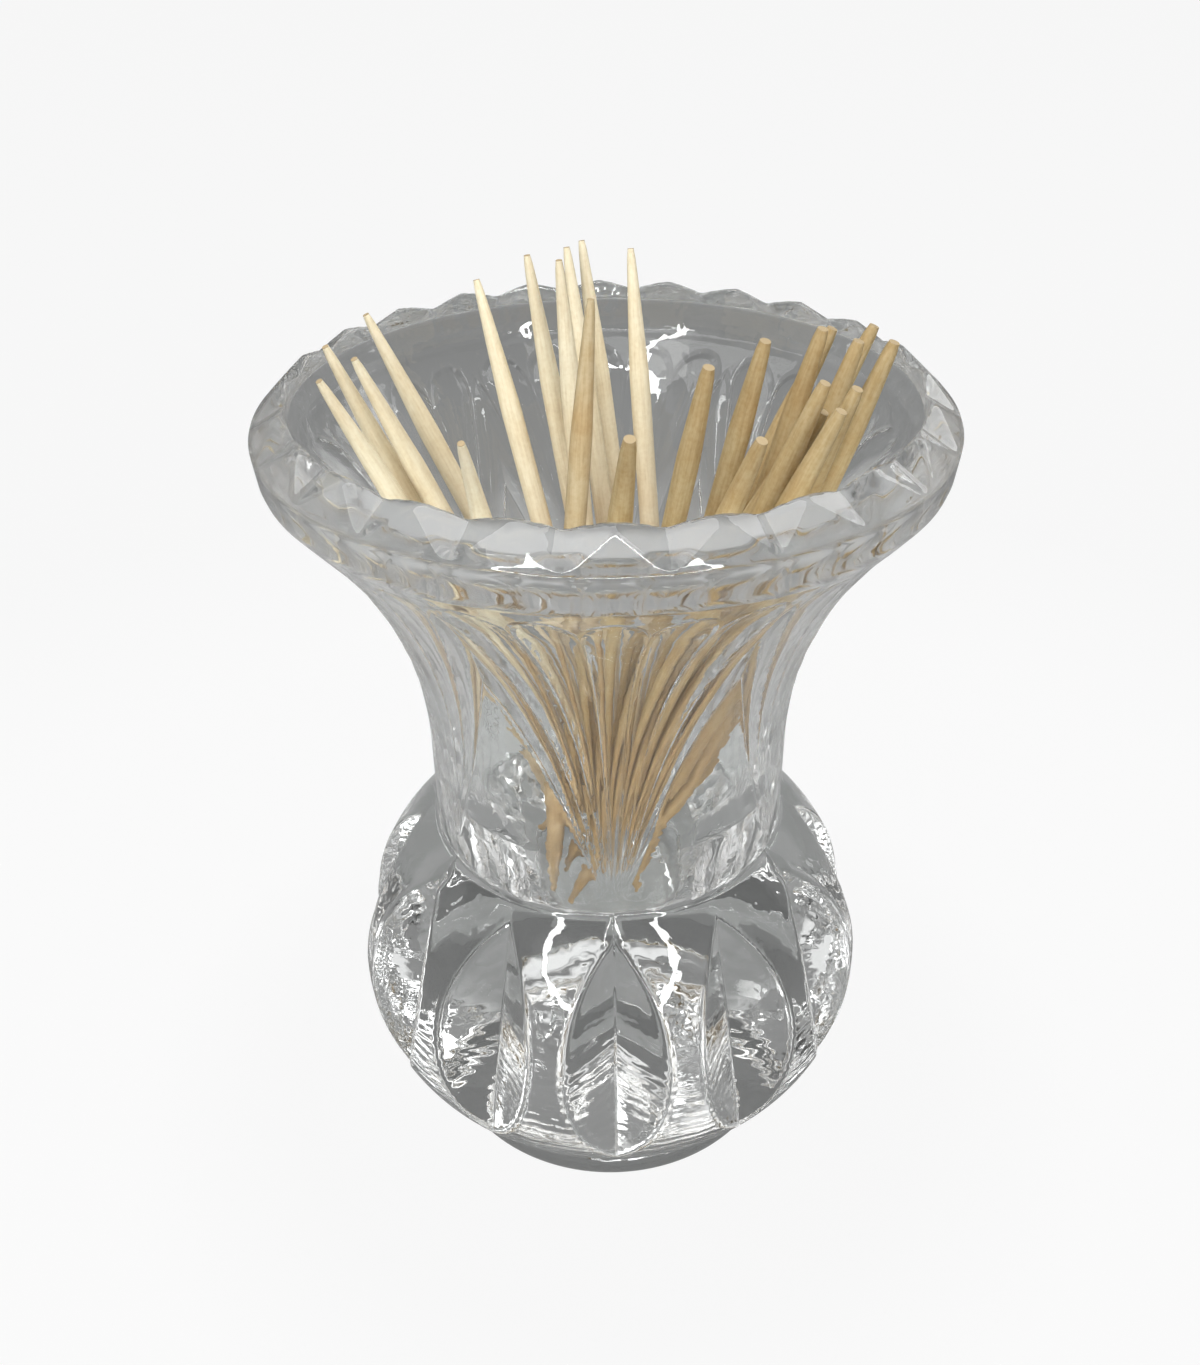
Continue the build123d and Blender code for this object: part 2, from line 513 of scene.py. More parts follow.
@dataclass
class CutGlassHolder:
    """The glass holder: a turned blank with mitre cuts, fans of flutes and a notched rim. Sizes in mm."""

    foot_radius: float = 21.0
    foot_height: float = 4.0
    foot_bevel: float = 0.6
    recess_radius: float = 15.0
    recess_depth: float = 0.8
    waist_radius: float = 20.2
    waist_z: float = 4.8
    bulb_radius: float = 29.3
    equator_z: float = 20.0
    neck_radius: float = 19.3
    neck_z: float = 40.0
    flare_z: float = 51.0
    flare_angle: float = 39.0
    flare_straight: float = 3.4
    rim_radius: float = 33.2
    rim_draft: float = 0.4
    rim_band_height: float = 3.4
    rim_bevel_width: float = 2.7
    rim_bevel_height: float = 2.9
    lip_width: float = 0.8
    neck_wall: float = 4.0
    well_floor_z: float = 31.0
    well_floor_radius: float = 12.0
    mouth_draft: float = 0.9
    step_width: float = 0.4
    leaf_count: int = 12
    leaf_half_angle: float = 55.0
    leaf_top_z: float = 38.2
    leaf_bottom_z: float = 11.8
    leaf_close: float = 4.0
    notch_count: int = 24
    notch_half_angle: float = 73.0
    notch_depth: float = 1.1
    notch_softness: float = 0.6
    fan_count: int = 6
    flute_pitch: float = 12.0
    flute_depth: float = 0.5
    flute_side_count: int = 3
    flute_start: float = 0.05
    flute_fade: float = 0.09
    least_share: float = 0.02
    ridge_reach: float = 0.55
    fan_top_z: float = 81.5
    arch_height: float = 3.5
    polish: float = 0.22
    polish_passes: int = 2
    edge_softness: float = 0.35
    nick_z: float = 38.4
    nick_height: float = 2.0
    nick_width: float = 1.5
    nick_depth: float = 0.6
    flare_points: int = 60
    bulb_points: int = 160
    columns: int = 480
    crowding: float = 0.45
    rows: int = 204
    row_step: float = 0.05
    rim_rows_height: float = 1.2
    rim_rows_width: float = 5.5
    rim_row_gap: float = 0.3
    well_row_gap: float = 2.6
    foot_row_gap: float = 0.9
    bulb_row_gap: float = 0.5
    bulb_rows_above: float = 1.0
    neck_row_gap: float = 0.62
    finish: PressedGlass = field(default_factory=PressedGlass)

    def bulb_surface(self, z: float) -> float:
        """Finds the radius of the uncut bulb at a height.

        Args:
            z: the height.

        Returns:
            The radius there.
        """
        upper = z > self.equator_z
        end_radius = self.neck_radius if upper else self.waist_radius
        end_z = self.neck_z if upper else self.waist_z
        width = self.bulb_radius - end_radius
        height = end_z - self.equator_z
        arc = (width * width + height * height) / (2 * width)
        return self.bulb_radius - arc + math.sqrt(arc * arc - (z - self.equator_z) ** 2)

    def rim_heights(self) -> tuple[float, float, float]:
        """Works out the heights of the rim's edges.

        Returns:
            The heights of its under edge, outer edge and top.
        """
        turn = math.radians(self.flare_angle)
        under_z = self.flare_z + self.flare_arc() * math.sin(turn) + self.flare_straight / math.tan(turn)
        edge_z = under_z + self.rim_band_height
        return under_z, edge_z, edge_z + self.rim_bevel_height

    def flare_arc(self) -> float:
        """Radius of the flare's outer arc."""
        rise = self.rim_radius - self.rim_draft - self.flare_straight - self.neck_radius
        return rise / (1 - math.cos(math.radians(self.flare_angle)))

    def outline(self) -> tuple[np.ndarray, int]:
        """Draws the turned outline from the base centre over the rim to the well floor.

        Returns:
            The corner and arc points as (radius, height), and how many of them are outside.
        """
        turn = math.radians(self.flare_angle)
        slope = math.tan(turn)
        arc = self.flare_arc()
        centre = self.neck_radius + arc
        under_z, edge_z, top_z = self.rim_heights()
        under = self.rim_radius - self.rim_draft
        lip_outer = self.rim_radius - self.rim_bevel_width
        lip_inner = lip_outer - self.lip_width
        step_outer = lip_inner - self.mouth_draft
        step_inner = step_outer - self.step_width
        inner_arc = arc + self.neck_wall
        inner_end = centre - inner_arc * math.cos(turn)
        inner_end_z = self.flare_z + inner_arc * math.sin(turn)
        step_z = inner_end_z + (step_inner - inner_end) / slope
        angles = np.linspace(0.0, turn, self.flare_points)
        bulb = np.linspace(self.waist_z, self.neck_z, self.bulb_points)
        outside = [
            (0.0, self.recess_depth),
            (self.recess_radius - self.recess_depth, self.recess_depth),
            (self.recess_radius, 0.0),
            (self.foot_radius - self.foot_bevel, 0.0),
            (self.foot_radius, self.foot_bevel),
            (self.foot_radius, self.foot_height),
        ]
        outside += [(self.bulb_surface(z), z) for z in bulb]
        outside += [(centre - arc * math.cos(a), self.flare_z + arc * math.sin(a)) for a in angles]
        outside += [(under, under_z), (self.rim_radius, edge_z), (lip_outer, top_z)]
        inside = [(lip_inner, top_z), (step_outer, step_z), (step_inner, step_z)]
        back = angles[::-1]
        inside += [(centre - inner_arc * math.cos(a), self.flare_z + inner_arc * math.sin(a)) for a in back]
        inside += [(self.well_floor_radius, self.well_floor_z), (0.0, self.well_floor_z)]
        return np.array(outside + inside), len(outside)

    def spacing(self, radius: float, z: float, outside: bool) -> float:
        """Chooses the distance between rows at a place on the outline.

        Args:
            radius: how far out the place is.
            z: its height.
            outside: whether it is on the outer side.

        Returns:
            The wanted distance.
        """
        rim_low = self.rim_heights()[1] - self.rim_rows_height
        if z > rim_low and radius > self.rim_radius - self.rim_rows_width:
            return self.rim_row_gap
        if not outside:
            return self.well_row_gap
        if z < self.waist_z:
            return self.foot_row_gap
        return self.bulb_row_gap if z < self.neck_z + self.bulb_rows_above else self.neck_row_gap

    def row_places(self) -> tuple[np.ndarray, np.ndarray]:
        """Softens the outline's corners and picks the rows of the mesh along it.

        Returns:
            The rows as (radius, height) and whether each is outside.
        """
        points, split = self.outline()
        steps = np.linalg.norm(np.diff(points, axis=0), axis=1)
        along = np.concatenate(([0.0], np.cumsum(steps)))
        fine = np.linspace(0.0, along[-1], int(along[-1] / self.row_step))
        line = np.stack([np.interp(fine, along, points[:, i]) for i in (0, 1)], axis=1)
        reach = int(self.polish / self.row_step)
        kernel = np.ones(2 * reach + 1) / (2 * reach + 1)
        for _ in range(self.polish_passes):
            padded = np.pad(line, ((reach, reach), (0, 0)), mode="edge")
            line = np.stack([np.convolve(padded[:, i], kernel, mode="valid") for i in (0, 1)], axis=1)
        line[0, 0] = 0.0
        line[-1, 0] = 0.0
        is_outside = fine <= along[split - 1]
        gaps = np.array([self.spacing(r, z, o) for (r, z), o in zip(line, is_outside)])
        packing = 0.5 * (1 / gaps[1:] + 1 / gaps[:-1]) * np.diff(fine)
        density = np.concatenate(([0.0], np.cumsum(packing)))
        wanted = np.linspace(0.0, density[-1], self.rows)
        places = np.interp(wanted, density, fine)
        rows = np.stack([np.interp(places, fine, line[:, i]) for i in (0, 1)], axis=1)
        return rows, places <= along[split - 1]

    def blank(self) -> bpy.types.Object:
        """Turns the outline into the uncut blank.

        Returns:
            The blank as an object, with the attribute outside on its points.
        """
        rows, outside = self.row_places()
        turn = np.arange(self.columns) * 2 * math.pi / self.columns
        turn = turn - self.crowding / self.leaf_count * np.sin(self.leaf_count * turn)
        ring = rows[1:-1]
        spots = np.zeros((len(ring), self.columns, 3))
        spots[:, :, 0] = ring[:, :1] * np.sin(turn)
        spots[:, :, 1] = -ring[:, :1] * np.cos(turn)
        spots[:, :, 2] = ring[:, 1:]
        poles = np.array([[0.0, 0.0, rows[0, 1]], [0.0, 0.0, rows[-1, 1]]])
        places = np.concatenate((spots.reshape(-1, 3), poles)) * MM
        first_pole = len(ring) * self.columns
        faces = []
        for row in range(len(ring) - 1):
            for column in range(self.columns):
                following = (column + 1) % self.columns
                low = row * self.columns
                high = low + self.columns
                faces.append((low + column, low + following, high + following, high + column))
        last = (len(ring) - 1) * self.columns
        for column in range(self.columns):
            following = (column + 1) % self.columns
            faces.append((first_pole, following, column))
            faces.append((first_pole + 1, last + column, last + following))
        mesh = bpy.data.meshes.new("glass_blank")
        mesh.from_pydata(places.tolist(), [], faces)
        flags = np.concatenate((np.repeat(outside[1:-1], self.columns), [True, False])).astype(np.float32)
        mesh.attributes.new("outside", "FLOAT", "POINT").data.foreach_set("value", flags)
        piece = bpy.data.objects.new("cut_glass", mesh)
        bpy.context.scene.collection.objects.link(piece)
        return piece

    def cut_sizes(self) -> dict[str, float]:
        """Works out the sizes that the cutting tree takes.

        Returns:
            The sizes by input name.
        """
        edge_z, top_z = self.rim_heights()[1:]
        low_radius = self.bulb_surface(self.leaf_bottom_z)
        high_radius = self.bulb_surface(self.leaf_top_z)
        lip_middle = self.rim_radius - self.rim_bevel_width - self.lip_width / 2
        return {
            "Leaf Count": float(self.leaf_count),
            "Leaf Bottom": self.leaf_bottom_z,
            "Leaf Top": self.leaf_top_z,
            "Leaf Low Radius": low_radius,
            "Leaf Lean": (high_radius - low_radius) / (self.leaf_top_z - self.leaf_bottom_z),
            "Leaf Cotangent": 1 / math.tan(math.radians(self.leaf_half_angle)),
            "Fan Count": float(self.fan_count),
            "Fan Bottom": self.neck_z,
            "Fan Top": self.fan_top_z,
            "Flute Pitch": math.radians(self.flute_pitch),
            "Flute Depth": self.flute_depth,
            "Flute Sides": float(self.flute_side_count),
            "Arch Height": self.arch_height,
            "Nick Height": self.nick_z,
            "Nick Half Length": self.nick_height,
            "Nick Half Width": self.nick_width,
            "Nick Depth": self.nick_depth,
            "Notch Count": float(self.notch_count),
            "Notch Cotangent": 1 / math.tan(math.radians(self.notch_half_angle)),
            "Notch Edge": edge_z,
            "Notch Rise": (top_z - self.notch_depth - edge_z) / (self.rim_radius - lip_middle),
            "Rim Radius": self.rim_radius,
            "Softness": self.edge_softness,
        }

    def cut_tree(self) -> Tree:
        """Makes the tree that cuts mitres, flutes and notches into the blank.

        Returns:
            The tree.
        """
        tree = Tree("glass_cuts")
        size = {name: tree.number(name, value) for name, value in self.cut_sizes().items()}
        material = tree.typed("Material", "NodeSocketMaterial")
        place = tree.node("GeometryNodeInputPosition")
        parts = tree.node("ShaderNodeSeparateXYZ", Vector=place.outputs["Position"])
        x = Field(tree.group, parts.outputs["X"]) * (1 / MM)
        y = Field(tree.group, parts.outputs["Y"]) * (1 / MM)
        z = Field(tree.group, parts.outputs["Z"]) * (1 / MM)
        flag = tree.node("GeometryNodeInputNamedAttribute", Name="outside")
        outside = Field(tree.group, flag.outputs["Attribute"])
        radius = (x * x + y * y).math("SQRT")
        angle = x.math("ARCTAN2", y * -1.0)
        full = 2 * math.pi

        leaf_turn = angle.wrapped(size["Leaf Count"].math("POWER", -1.0) * full)
        crease = size["Leaf Low Radius"] + (z - size["Leaf Bottom"]) * size["Leaf Lean"]
        opening = leaf_turn.math("COSINE") - abs(leaf_turn.math("SINE")) * size["Leaf Cotangent"]
        leaf_cut = crease / opening + (z - size["Leaf Top"]).math("MAXIMUM", 0.0) * self.leaf_close
        cut_radius = radius.math("SMOOTH_MIN", leaf_cut, size["Softness"])

        fan_turn = angle.wrapped(size["Fan Count"].math("POWER", -1.0) * full)
        climb = (z - size["Fan Bottom"]) / (size["Fan Top"] - size["Fan Bottom"])
        share = climb.math("MAXIMUM", self.least_share)
        fanned = fan_turn / share
        flute = fanned / size["Flute Pitch"]
        middle = flute.math("ROUND")
        off = flute - middle
        arch = ((z - size["Fan Top"] + size["Arch Height"]) / size["Arch Height"]).math("MAXIMUM", 0.0)
        hollow = (off * off * -4.0 + 1.0 - arch * arch).math("MAXIMUM", 0.0)
        in_fan = abs(middle).math("LESS_THAN", size["Flute Sides"] + 0.5)
        kept = in_fan * z.math("GREATER_THAN", size["Fan Bottom"])
        fade = ((share - self.flute_start) / self.flute_fade).math("MAXIMUM", 0.0).math("MINIMUM", 1.0)
        depth = hollow * kept * fade * share.math("SQRT") * size["Flute Depth"]
        nick_side = abs(fan_turn) * radius / size["Nick Half Width"]
        nick_reach = nick_side + abs(z - size["Nick Height"]) / size["Nick Half Length"]
        nick = (nick_reach * -1.0 + 1.0).math("MAXIMUM", 0.0) * size["Nick Depth"]
        carved = cut_radius - depth - nick
        new_radius = radius + (carved - radius) * outside

        notch_pitch = size["Notch Count"].math("POWER", -1.0) * full
        notch_turn = (angle + notch_pitch * 0.5).wrapped(notch_pitch)
        across = abs(notch_turn.math("SINE")) * radius
        slope = size["Notch Edge"] + (size["Rim Radius"] - radius) * size["Notch Rise"]
        groove = slope + across * size["Notch Cotangent"]
        new_z = z.math("SMOOTH_MIN", groove, size["Softness"] * self.notch_softness)

        scale = new_radius / radius.math("MAXIMUM", 0.001) * MM
        joined = tree.node("ShaderNodeCombineXYZ", X=x * scale, Y=y * scale, Z=new_z * MM)
        mark = tree.node("ShaderNodeCombineXYZ", X=abs(flute), Y=arch, Z=fade * share * outside)
        marked = tree.node("GeometryNodeStoreNamedAttribute", Name="flute",
                           Geometry=tree.entry.outputs["Geometry"])
        marked.data_type = "FLOAT_VECTOR"
        marked.domain = "POINT"
        tree.link(mark.outputs["Vector"], marked.inputs["Value"])
        moved = tree.node("GeometryNodeSetPosition", Geometry=marked.outputs["Geometry"],
                          Position=joined.outputs["Vector"])
        real = tree.node("GeometryNodeRealizeInstances", Geometry=moved.outputs["Geometry"])
        dressed = tree.node("GeometryNodeSetMaterial", Geometry=real.outputs["Geometry"], Material=material)
        tree.link(dressed.outputs["Geometry"], tree.exit.inputs["Geometry"])
        return tree

    def build(self) -> bpy.types.Object:
        """Makes the finished glass, dressed and riding on its body.

        Returns:
            The glass.
        """
        piece = self.cut_tree().apply(
            self.blank(),
            Material=self.finish.material(self.flute_side_count + self.ridge_reach),
            **self.cut_sizes(),
        )
        shape = bmesh.new()
        shape.from_mesh(piece.data)
        bmesh.ops.recalc_face_normals(shape, faces=shape.faces)
        for face in shape.faces:
            face.smooth = True
        shape.to_mesh(piece.data)
        shape.free()
        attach(piece, "holder")
        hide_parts("glass_holder")
        LOG.info("%s: %d faces", piece.name, len(piece.data.polygons))
        return piece


@dataclass
class PickSheaf:
    """The loose picks that stand in the well. Sizes in mm."""

    length: float = 68.0
    diameter: float = 2.1
    sharp_tip: float = 0.7
    sharp_taper: float = 13.0
    blunt_end: float = 1.1
    blunt_taper: float = 9.0
    taper_curve: float = 0.82
    end_round: float = 0.18
    end_shrink: float = 0.12
    shaft_softness: float = 0.05
    rings: int = 72
    sides: int = 20
    foot_slack: float = 0.02
    sharp_up_count: int = 12
    stained: tuple[int, ...] = (11,)
    tan_from: int = 13

    def finishes(self) -> dict[WoodTone, bpy.types.Material]:
        """Makes one material for each tone of wood.

        Returns:
            The materials by tone.
        """
        kinds = (
            BareWood(WoodTone.CREAM, (0.86, 0.79, 0.60), (0.77, 0.68, 0.48), (0.64, 0.53, 0.34), 0.3),
            BareWood(WoodTone.TAN, (0.53, 0.42, 0.24), (0.44, 0.32, 0.15), (0.33, 0.22, 0.09), 0.5),
            BareWood(WoodTone.STAINED, (0.60, 0.50, 0.32), (0.52, 0.41, 0.24), (0.38, 0.28, 0.14), 0.8),
        )
        return {kind.tone: kind.material() for kind in kinds}

    def pick_tree(self) -> Tree:
        """Makes the tree that turns one pick and stands it in its place.

        Returns:
            The tree.
        """
        tree = Tree("turned_pick")
        length = tree.number("Length", self.length)
        diameter = tree.number("Diameter", self.diameter)
        low_end = tree.number("Low End", self.blunt_end)
        low_taper = tree.number("Low Taper", self.blunt_taper)
        high_end = tree.number("High End", self.sharp_tip)
        high_taper = tree.number("High Taper", self.sharp_taper)
        seed = tree.number("Seed", 0.0)
        foot = tree.typed("Foot", "NodeSocketVector")
        turn = tree.typed("Turn", "NodeSocketVector")
        material = tree.typed("Material", "NodeSocketMaterial")
        top = tree.node("ShaderNodeCombineXYZ", Z=length)
        line = tree.node("GeometryNodeCurvePrimitiveLine", End=top.outputs["Vector"])
        cut = tree.node("GeometryNodeResampleCurve", Curve=line.outputs["Curve"], Count=self.rings)
        spline = tree.node("GeometryNodeSplineParameter")
        along = Field(tree.group, spline.outputs["Length"])
        widths = []
        rounding = []
        for gone, end, taper in ((along, low_end, low_taper), (length - along, high_end, high_taper)):
            swell = (gone / taper).math("MINIMUM", 1.0).math("POWER", self.taper_curve)
            widths.append(end + (diameter - end) * swell)
            rounding.append((gone / self.end_round).math("MINIMUM", 1.0) * self.end_shrink
                            + (1 - self.end_shrink))
        width = widths[0].math("SMOOTH_MIN", widths[1], self.shaft_softness).math("MINIMUM", diameter)
        girth = width * rounding[0] * rounding[1] * 0.5
        circle = tree.node("GeometryNodeCurvePrimitiveCircle", Resolution=self.sides, Radius=1.0)
        tube = tree.node("GeometryNodeCurveToMesh", Curve=cut.outputs["Curve"],
                         Profile_Curve=circle.outputs["Curve"], Scale=girth, Fill_Caps=True)
        place = tree.node("GeometryNodeInputPosition")
        placed = tree.node("GeometryNodeStoreNamedAttribute", Geometry=tube.outputs["Mesh"], Name="stick")
        placed.data_type = "FLOAT_VECTOR"
        placed.domain = "POINT"
        tree.link(place.outputs["Position"], placed.inputs["Value"])
        stored = tree.node("GeometryNodeStoreNamedAttribute", Name="lot", Value=seed,
                           Geometry=placed.outputs["Geometry"])
        stored.data_type = "FLOAT"
        stored.domain = "POINT"
        small = tree.node("GeometryNodeTransform", Geometry=stored.outputs["Geometry"], Scale=(MM, MM, MM))
        stood = tree.node("GeometryNodeTransform", Geometry=small.outputs["Geometry"], Translation=foot)
        rotation = tree.node("FunctionNodeEulerToRotation", Euler=turn)
        tree.link(rotation.outputs["Rotation"], stood.inputs["Rotation"])
        real = tree.node("GeometryNodeRealizeInstances", Geometry=stood.outputs["Geometry"])
        smooth = tree.node("GeometryNodeSetShadeSmooth", Geometry=real.outputs["Geometry"])
        dressed = tree.node("GeometryNodeSetMaterial", Geometry=smooth.outputs["Geometry"],
                            Material=material)
        tree.link(dressed.outputs["Geometry"], tree.exit.inputs["Geometry"])
        return tree

    def stand(self, node: bpy.types.Object, way: Vector) -> Vector:
        """Finds the foot of a pick, at the low end of its solid's axis, in metres.

        Args:
            node: the pick's solid.
            way: its unit direction.

        Returns:
            The centre of its low end.
        """
        spots = [v.co for v in node.data.vertices]
        heights = [spot.dot(way) for spot in spots]
        low = min(heights)
        end = [spot for spot, height in zip(spots, heights) if height < low + self.foot_slack * MM]
        return Vector([(min(s[i] for s in end) + max(s[i] for s in end)) / 2 for i in range(3)])

    def build(self) -> list[bpy.types.Object]:
        """Makes every pick, dressed and riding on its own body.

        Returns:
            The picks in order.
        """
        finishes = self.finishes()
        tree = self.pick_tree()
        picks = []
        for number, joint in enumerate(frame["joints"], start=1):
            way = Vector(joint["axis"]).normalized()
            node = f"toothpick_{number:02d}"
            end = PickEnd.SHARP if number <= self.sharp_up_count else PickEnd.BLUNT
            # Picks from tan_from on get the darker tan copy of the wood.
            tone = WoodTone.TAN if number >= self.tan_from else WoodTone.CREAM
            if number in self.stained:
                tone = WoodTone.STAINED
            sharp = end is PickEnd.SHARP
            turn = way.to_track_quat("Z", "Y").to_euler()
            mesh = bpy.data.meshes.new(f"pick_{number:02d}_wood")
            piece = bpy.data.objects.new(f"pick_{number:02d}_wood", mesh)
            bpy.context.scene.collection.objects.link(piece)
            tree.apply(
                piece,
                Length=self.length,
                Diameter=self.diameter,
                Low_End=self.blunt_end if sharp else self.sharp_tip,
                Low_Taper=self.blunt_taper if sharp else self.sharp_taper,
                High_End=self.sharp_tip if sharp else self.blunt_end,
                High_Taper=self.sharp_taper if sharp else self.blunt_taper,
                Seed=float(number),
                Foot=tuple(self.stand(frame["nodes"][node], way)),
                Turn=tuple(turn),
                Material=finishes[tone],
            )
            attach(piece, joint["child"])
            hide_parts(node)
            LOG.info("%s: %s end up, %s wood", piece.name, end.value, tone.value)
            picks.append(piece)
        return picks


@dataclass
class Studio:
    """White floor, soft lamps and the camera at the photograph's viewing angle. Sizes in mm."""

    camera_distance: float = 120.4
    camera_height: float = 135.73
    camera_around: float = -1.22
    pitch: float = 33.59
    yaw: float = -0.387
    roll: float = -0.681
    focal_pixels: float = 1341.7
    image_height: float = 1365.0
    sensor: float = 36.0
    clip_near: float = 5.0
    clip_far: float = 20000.0
    floor_size: float = 3000.0
    # painted light: the floor's grey by distance from the middle, dark under the holder as a painted
    # contact shadow and bright in a ring as a painted pool of light
    painted_light_pool_size: float = 200.0
    painted_light_pool: tuple[tuple[float, float], ...] = ((0.2, 0.15), (0.3, 0.36), (0.55, 0.36), (0.85, 0.16))
    floor_white: float = 0.92
    floor_white_in_glass: float = 0.06
    cards: tuple[tuple[tuple[float, float, float], float, float], ...] = (
        ((-1.0, 0.2, 0.25), 17.0, 0.85),
        ((1.0, 0.35, 0.3), 15.0, 0.85),
        ((0.15, 1.0, 0.75), 13.0, 0.9),
        ((-0.6, -1.0, 0.95), 11.0, 0.9),
        ((0.25, -1.0, 0.3), 15.0, 0.02),
        ((-0.5, 1.0, 0.25), 13.0, 0.02),
        ((1.0, -0.4, 0.15), 13.0, 0.02),
        ((-1.0, -0.6, 0.3), 13.0, 0.02),
    )
    card_softness: float = 0.25
    ring_back: float = 220.0
    ring_radius: float = 203.0
    ring_width: float = 21.0
    ring_lamps: int = 20
    ring_power: float = 1.95
    surroundings: tuple[tuple[float, float], ...] = ((0.0, 0.2), (0.55, 0.22), (1.0, 0.3))
    backdrop_white: float = 0.95
    lamps: tuple[tuple[str, tuple[float, float, float], float, float], ...] = (
        ("overhead", (-120.0, -40.0, 700.0), 600.0, 2.6),
        ("window", (420.0, 350.0, 420.0), 320.0, 0.7),
    )
    lamp_aim_z: float = 60.0
    glass_bounces: int = 24

    def camera(self) -> bpy.types.Object:
        """Makes the camera and sets it as the scene's.

        Returns:
            The camera.
        """
        lens = bpy.data.cameras.new("camera")
        lens.sensor_fit = "VERTICAL"
        lens.sensor_height = self.sensor
        lens.lens = self.focal_pixels * self.sensor / self.image_height
        lens.clip_start = self.clip_near * MM
        lens.clip_end = self.clip_far * MM
        around = math.radians(self.camera_around)
        pitch, yaw, roll = (math.radians(a) for a in (self.pitch, self.yaw, self.roll))
        spin = Matrix.Rotation(around, 3, "Z")
        right = Vector((math.cos(yaw), -math.sin(yaw), 0.0))
        level = Vector((math.sin(yaw), math.cos(yaw), 0.0))
        upright = Vector((0.0, 0.0, 1.0))
        ahead = level * math.cos(pitch) - upright * math.sin(pitch)
        above = level * math.sin(pitch) + upright * math.cos(pitch)
        side = spin @ (right * math.cos(roll) + above * math.sin(roll))
        top = spin @ (above * math.cos(roll) - right * math.sin(roll))
        back = spin @ (ahead * -1.0)
        spot = spin @ Vector((0.0, -self.camera_distance, self.camera_height)) * MM
        turned = Matrix((side, top, back)).transposed().to_4x4()
        camera = bpy.data.objects.new("camera", lens)
        camera.matrix_world = Matrix.Translation(spot) @ turned
        bpy.context.scene.collection.objects.link(camera)
        bpy.context.scene.camera = camera
        return camera

    def floor(self) -> bpy.types.Object:
        """Makes the pale floor, painted with a darker patch under the holder as its shadow and a brighter
        ring around it as a pool of light.

        Returns:
            The floor.
        """
        half = self.floor_size * MM / 2
        corners = [(-half, -half, 0.0), (half, -half, 0.0), (half, half, 0.0), (-half, half, 0.0)]
        mesh = bpy.data.meshes.new("floor")
        mesh.from_pydata(corners, [], [(0, 1, 2, 3)])
        floor = bpy.data.objects.new("floor", mesh)
        bpy.context.scene.collection.objects.link(floor)
        shade = Shading(bpy.data.materials.new("floor_paper"))
        place = shade.node("ShaderNodeTexCoord")
        away = shade.node("ShaderNodeVectorMath")
        away.operation = "LENGTH"
        shade.tree.links.new(place.outputs["Object"], away.inputs[0])
        # Painted light: the grey is dark under the holder as painted shadow and brighter in a ring as a
        # painted pool of light; the camera sees little of it under the white.
        reach = shade.math("DIVIDE", away.outputs["Value"], self.painted_light_pool_size * MM)
        paper = shade.node("ShaderNodeBsdfDiffuse", Color=shade.grey_ramp(reach, self.painted_light_pool))
        white = shade.node("ShaderNodeEmission", Strength=1.0)
        path = shade.node("ShaderNodeLightPath")
        through = shade.math("ADD", path.outputs["Is Glossy Ray"], path.outputs["Is Transmission Ray"])
        seen = shade.math("MULTIPLY", path.outputs["Is Camera Ray"], self.floor_white)
        share = shade.math("MULTIPLY_ADD", through, self.floor_white_in_glass, seen)
        shader = shade.mix(share, paper.outputs["BSDF"], white.outputs["Emission"])
        mesh.materials.append(shade.finish(shader))
        return floor

    def card(self, shade: Shading, way: bpy.types.NodeSocket, aim: tuple[float, float, float],
             half_angle: float) -> bpy.types.NodeSocket:
        """Adds a soft round patch of the surroundings.

        Args:
            shade: the world's tree.
            way: the direction looked along.
            aim: the direction of the patch's middle.
            half_angle: the patch's half angle in degrees.

        Returns:
            How much of the patch shows, from 0 to 1.
        """
        facing = shade.node("ShaderNodeVectorMath")
        facing.operation = "DOT_PRODUCT"
        shade.tree.links.new(way, facing.inputs[0])
        facing.inputs[1].default_value = Vector(aim).normalized()
        edge = shade.node("ShaderNodeMapRange", Value=facing.outputs["Value"])
        edge.interpolation_type = "SMOOTHSTEP"
        outer, inner = (half_angle * (1 + sign * self.card_softness) for sign in (1, -1))
        edge.inputs["From Min"].default_value = math.cos(math.radians(outer))
        edge.inputs["From Max"].default_value = math.cos(math.radians(inner))
        return edge.outputs["Result"]

    def world(self) -> None:
        """Makes the soft surroundings with pale and dark cards, white where the camera sees them."""
        shade = Shading(bpy.data.worlds.new("studio"), "ShaderNodeOutputWorld")
        place = shade.node("ShaderNodeTexCoord")
        way = place.outputs["Generated"]
        parts = shade.node("ShaderNodeSeparateXYZ", Vector=way)
        height = shade.math("MULTIPLY_ADD", parts.outputs["Z"], 0.5, 0.5)
        soft = shade.grey_ramp(height, self.surroundings)
        for aim, half_angle, grey in self.cards:
            soft = shade.blend("MIX", self.card(shade, way, aim, half_angle), soft, (grey, grey, grey))
        around = shade.node("ShaderNodeBackground", Color=soft, Strength=1.0)
        white = shade.node("ShaderNodeBackground", Strength=1.0)
        white.inputs["Color"].default_value = (*(self.backdrop_white,) * 3, 1.0)
        path = shade.node("ShaderNodeLightPath")
        seen = path.outputs["Is Camera Ray"]
        shader = shade.mix(seen, around.outputs["Background"], white.outputs["Background"])
        bpy.context.scene.world = shade.finish(shader)

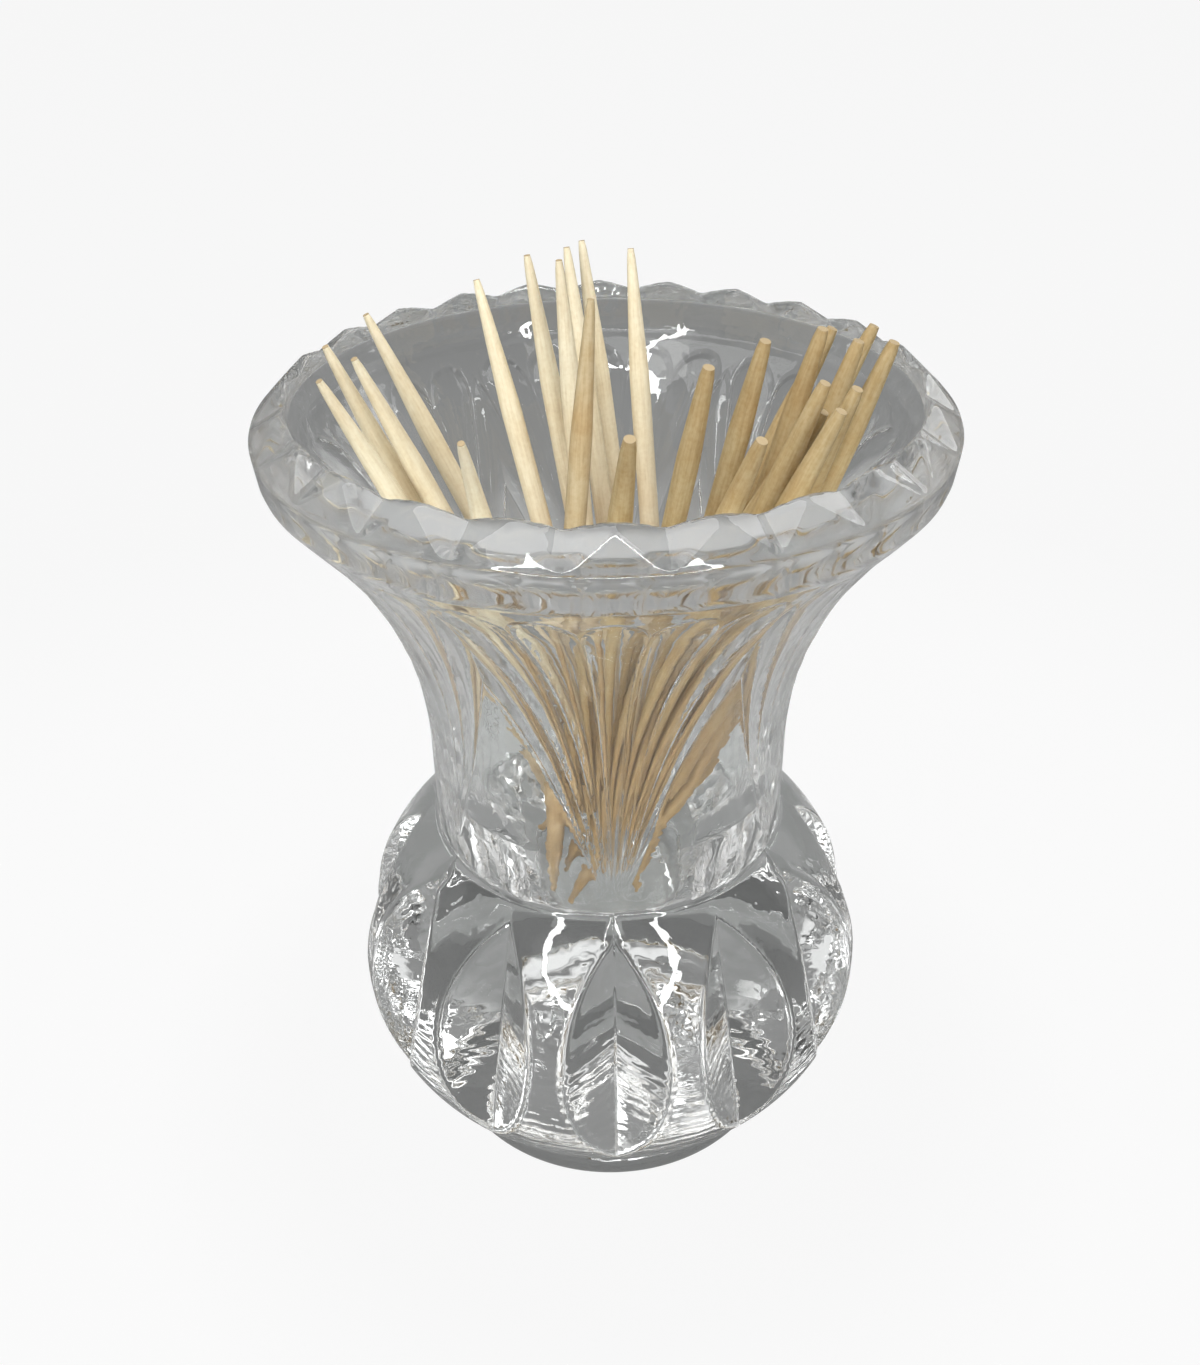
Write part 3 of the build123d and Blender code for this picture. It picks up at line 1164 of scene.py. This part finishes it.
    def panel(self, name: str, width: float, height: float, power: float) -> bpy.types.Object:
        """Adds one flat lamp at the origin.

        Args:
            name: the lamp's name.
            width: its size along its own X.
            height: its size along its own Y.
            power: its strength in watts.

        Returns:
            The lamp, which the camera does not see.
        """
        light = bpy.data.lights.new(name, "AREA")
        light.shape = "RECTANGLE"
        light.size = width * MM
        light.size_y = height * MM
        light.energy = power
        lamp = bpy.data.objects.new(name, light)
        lamp.visible_camera = False
        bpy.context.scene.collection.objects.link(lamp)
        return lamp

    def lamp(self, name: str, spot: tuple[float, float, float], size: float, power: float) -> None:
        """Adds one soft square lamp aimed at the holder.

        Args:
            name: the lamp's name.
            spot: where it stands.
            size: its side.
            power: its strength in watts.
        """
        lamp = self.panel(name, size, size, power)
        lamp.location = Vector(spot) * MM
        aim = Vector((0.0, 0.0, self.lamp_aim_z * MM)) - lamp.location
        lamp.rotation_euler = aim.to_track_quat("-Z", "Y").to_euler()

    def ring_light(self, camera: bpy.types.Object) -> None:
        """Adds a ring of narrow lamps behind the camera, around its line of sight.

        Args:
            camera: the camera that the ring stands behind.
        """
        side, top, back = camera.matrix_world.to_3x3().transposed()
        middle = camera.matrix_world.translation + back * self.ring_back * MM
        chord = 2 * self.ring_radius * math.tan(math.pi / self.ring_lamps)
        for step in range(self.ring_lamps):
            turn = 2 * math.pi * step / self.ring_lamps
            outward = side * math.cos(turn) + top * math.sin(turn)
            across = side * math.sin(turn) - top * math.cos(turn)
            lamp = self.panel(f"ring_{step:02d}", chord, self.ring_width, self.ring_power / self.ring_lamps)
            turned = Matrix((across, outward, back)).transposed().to_4x4()
            lamp.matrix_world = Matrix.Translation(middle + outward * self.ring_radius * MM) @ turned

    def build(self) -> None:
        """Makes the camera, floor, surroundings and lamps."""
        self.ring_light(self.camera())
        self.floor()
        self.world()
        for name, spot, size, power in self.lamps:
            self.lamp(name, spot, size, power)
        bpy.context.scene.view_settings.view_transform = "Standard"
        paths = bpy.context.scene.cycles
        paths.max_bounces = self.glass_bounces
        paths.glossy_bounces = self.glass_bounces
        paths.transmission_bounces = self.glass_bounces
        paths.transparent_max_bounces = self.glass_bounces


def main() -> None:
    """Builds the studio, the glass and the picks."""
    logging.basicConfig(level=logging.INFO, format="%(name)s %(message)s")
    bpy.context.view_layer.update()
    Studio().build()
    CutGlassHolder().build()
    PickSheaf().build()
    bpy.context.view_layer.update()


if __name__ == "__main__":
    main()
